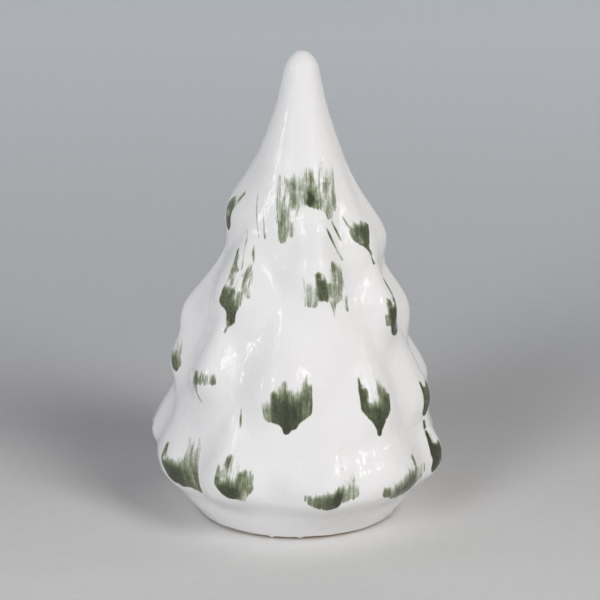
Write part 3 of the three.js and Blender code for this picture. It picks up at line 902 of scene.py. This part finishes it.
def clay_material():
    """Slip-cast earthenware, biscuit fired and fettled with a sponge: matt buff clay with a fine
    grain and cloudy tone, and faint rings where the foot was wiped."""
    material, tree = new_material("fired_clay_bisque")
    place = add_node(tree, "ShaderNodeTexCoord", {}, {})["Object"]
    grain = add_node(tree, "ShaderNodeTexNoise", {},
                     {"Vector": place, "Scale": 1 / (GRAIN_SPAN * MM), "Detail": GRAIN_DETAIL})[0]
    cloud = add_node(tree, "ShaderNodeTexNoise", {},
                     {"Vector": place, "Scale": 1 / (CLOUD_SPAN * MM), "Detail": GRAIN_DETAIL})[0]
    radius = add_node(tree, "ShaderNodeVectorMath", {"operation": "MULTIPLY"},
                      {0: place, 1: (1.0, 1.0, 0.0)})[0]
    distance = add_node(tree, "ShaderNodeVectorMath", {"operation": "LENGTH"}, {0: radius})["Value"]
    wipe = add_node(tree, "ShaderNodeTexNoise", {"noise_dimensions": "1D"},
                    {"W": distance, "Scale": 1 / (WIPE_SPAN * MM), "Detail": SOFT_DETAIL})[0]
    tone = add_node(tree, "ShaderNodeMath", {"operation": "ADD"}, {0: grain, 1: cloud})[0]
    tone = add_node(tree, "ShaderNodeMath", {"operation": "ADD"}, {0: tone, 1: wipe})[0]
    spread = add_node(tree, "ShaderNodeMapRange", SMOOTH,
                      {0: tone, 1: CLAY_TONE_RANGE[0], 2: CLAY_TONE_RANGE[1]})[0]
    colour = add_node(tree, "ShaderNodeMix", {"data_type": "RGBA"},
                      {0: spread, 6: linear(CLAY_DARK), 7: linear(CLAY_BUFF)})[2]
    height = add_node(tree, "ShaderNodeMath", {"operation": "ADD"}, {0: grain, 1: wipe})[0]
    normal = add_node(tree, "ShaderNodeBump", {}, {
        "Height": height, "Strength": GRAIN_STRENGTH, "Distance": GRAIN_SPAN * MM})[0]
    shader = add_node(tree, "ShaderNodeBsdfPrincipled", {}, {
        "Base Color": colour, "Roughness": CLAY_ROUGHNESS, "IOR": CERAMIC_IOR,
        "Normal": normal})[0]
    add_node(tree, "ShaderNodeOutputMaterial", {}, {"Surface": shader})
    return material


def floor_material():
    """Pale seamless photographer's paper, uncoated: matt, with its fibres, and with painted light
    and shade by its distance behind the tree.
    """
    material, tree = new_material("paper_painted_light_and_shade")
    place = add_node(tree, "ShaderNodeTexCoord", {}, {})["Object"]
    depth = add_node(tree, "ShaderNodeSeparateXYZ", {}, {0: place})["Y"]
    behind = add_node(tree, "ShaderNodeMath", {"operation": "SUBTRACT"},
                      {0: depth, 1: FLOOR_LINE})[0]
    # Painted shade darkens the paper in a band behind the tree where its shadows fall; painted
    # light brightens it far back and just in front
    far = add_node(tree, "ShaderNodeValToRGB", {}, {0: behind})[0]
    elements = far.node.color_ramp.elements
    while len(elements) < len(FLOOR_PAINTED_LIGHT_TONES):
        elements.new(0.5)
    for element, (position, colour) in zip(elements, FLOOR_PAINTED_LIGHT_TONES):
        element.position = position
        element.color = linear(colour)
    fibre = add_node(tree, "ShaderNodeTexNoise", {},
                     {"Vector": place, "Scale": 1 / (FIBRE_SPAN * MM), "Detail": FIBRE_DETAIL})[0]
    shade = add_node(tree, "ShaderNodeMapRange", SMOOTH, {
        0: fibre, 1: FIBRE_RANGE[0], 2: FIBRE_RANGE[1], 3: FIBRE_SHADES[0],
        4: FIBRE_SHADES[1]})[0]
    colour = add_node(tree, "ShaderNodeVectorMath", {"operation": "SCALE"},
                      {"Vector": far, "Scale": shade})[0]
    shader = add_node(tree, "ShaderNodeBsdfPrincipled", {},
                      {"Base Color": colour, "Roughness": PAPER_ROUGHNESS})[0]
    add_node(tree, "ShaderNodeOutputMaterial", {}, {"Surface": shader})
    return material


# Stage
def make_floor():
    """Floor that sweeps up far behind the tree."""
    profile = [(FLOOR_FRONT, 0.0), (SWEEP_START, 0.0)]
    for turn in np.linspace(0, np.pi / 2, SWEEP_STEPS + 1)[1:]:
        depth = SWEEP_START + SWEEP_RADIUS * math.sin(turn)
        profile.append((depth, SWEEP_RADIUS * (1 - math.cos(turn))))
    profile.append((SWEEP_START + SWEEP_RADIUS, WALL_TOP))
    points = [(x, y, z) for y, z in profile for x in (-FLOOR_HALF_WIDTH, FLOOR_HALF_WIDTH)]
    faces = [(2 * i, 2 * i + 1, 2 * i + 3, 2 * i + 2) for i in range(len(profile) - 1)]
    mesh = bpy.data.meshes.new("floor_sweep")
    mesh.from_pydata(points, [], faces)
    mesh.shade_smooth()
    mesh.materials.append(floor_material())
    obj = bpy.data.objects.new("floor_sweep", mesh)
    bpy.context.scene.collection.objects.link(obj)


def add_softbox(name, bearing, elevation, width, height, watts, colour):
    """Soft lamp that shines on the tree from a bearing off the front and an elevation."""
    lamp = bpy.data.lights.new(name, "AREA")
    lamp.shape = "RECTANGLE"
    lamp.size = width
    lamp.size_y = height
    lamp.energy = watts
    lamp.color = linear(colour)[:3]
    obj = bpy.data.objects.new(name, lamp)
    turn = math.radians(bearing)
    rise = math.radians(elevation)
    towards = Vector((math.sin(turn) * math.cos(rise), -math.cos(turn) * math.cos(rise),
                      math.sin(rise)))
    obj.location = Vector(LAMP_AIM) + towards * LAMP_DISTANCE
    obj.rotation_euler = towards.to_track_quat("Z", "Y").to_euler()
    bpy.context.scene.collection.objects.link(obj)
    return obj


def light_scene():
    """Two tall softboxes in front, two low lamps at the sides, and four small ones that give
    the gloss its glints on the shoulders of the branches."""
    for name, lamp in LARGE_LAMPS.items():
        add_softbox(name, *lamp).visible_glossy = False
    for bearing, elevation, width, watts in GLINT_LAMPS:
        add_softbox("glint_lamp", bearing, elevation, width, width, watts, LAMP_WHITE)
    world = bpy.data.worlds.new("studio")
    world.use_nodes = True
    tree = world.node_tree
    path = add_node(tree, "ShaderNodeLightPath", {}, {})
    strength = add_node(tree, "ShaderNodeMapRange", {},
                        {0: path["Is Glossy Ray"], 3: STUDIO_LIGHT, 4: STUDIO_GLOSS})[0]
    sky = tree.nodes["Background"]
    sky.inputs[0].default_value = linear(STUDIO_WALLS)
    tree.links.new(strength, sky.inputs[1])
    bpy.context.scene.world = world


def make_camera():
    """Camera that looks down on the tree as the photograph does."""
    rise = math.radians(CAMERA_ELEVATION)
    away = Vector((0, -math.cos(rise), math.sin(rise))) * CAMERA_DISTANCE
    camera = bpy.data.cameras.new("camera")
    camera.lens = FOCAL_LENGTH
    camera.sensor_width = SENSOR_WIDTH
    camera.clip_start = CLIP_START
    obj = bpy.data.objects.new("camera", camera)
    obj.location = (Vector(VIEW_CENTRE) + away) * MM
    direction = obj.location - Vector(AIM) * MM
    obj.rotation_euler = direction.to_track_quat("Z", "Y").to_euler()
    bpy.context.scene.collection.objects.link(obj)
    bpy.context.scene.camera = obj


def make_tree():
    """Both pieces of the tree, grown from the same branches."""
    growth = branch_growth()
    tips = branch_tips()
    make_clay(growth, tips)
    make_glaze(growth, tips)
    bpy.data.objects.remove(tips)


bpy.context.scene.view_settings.view_transform = "Standard"
make_camera()
make_floor()
light_scene()
make_tree()
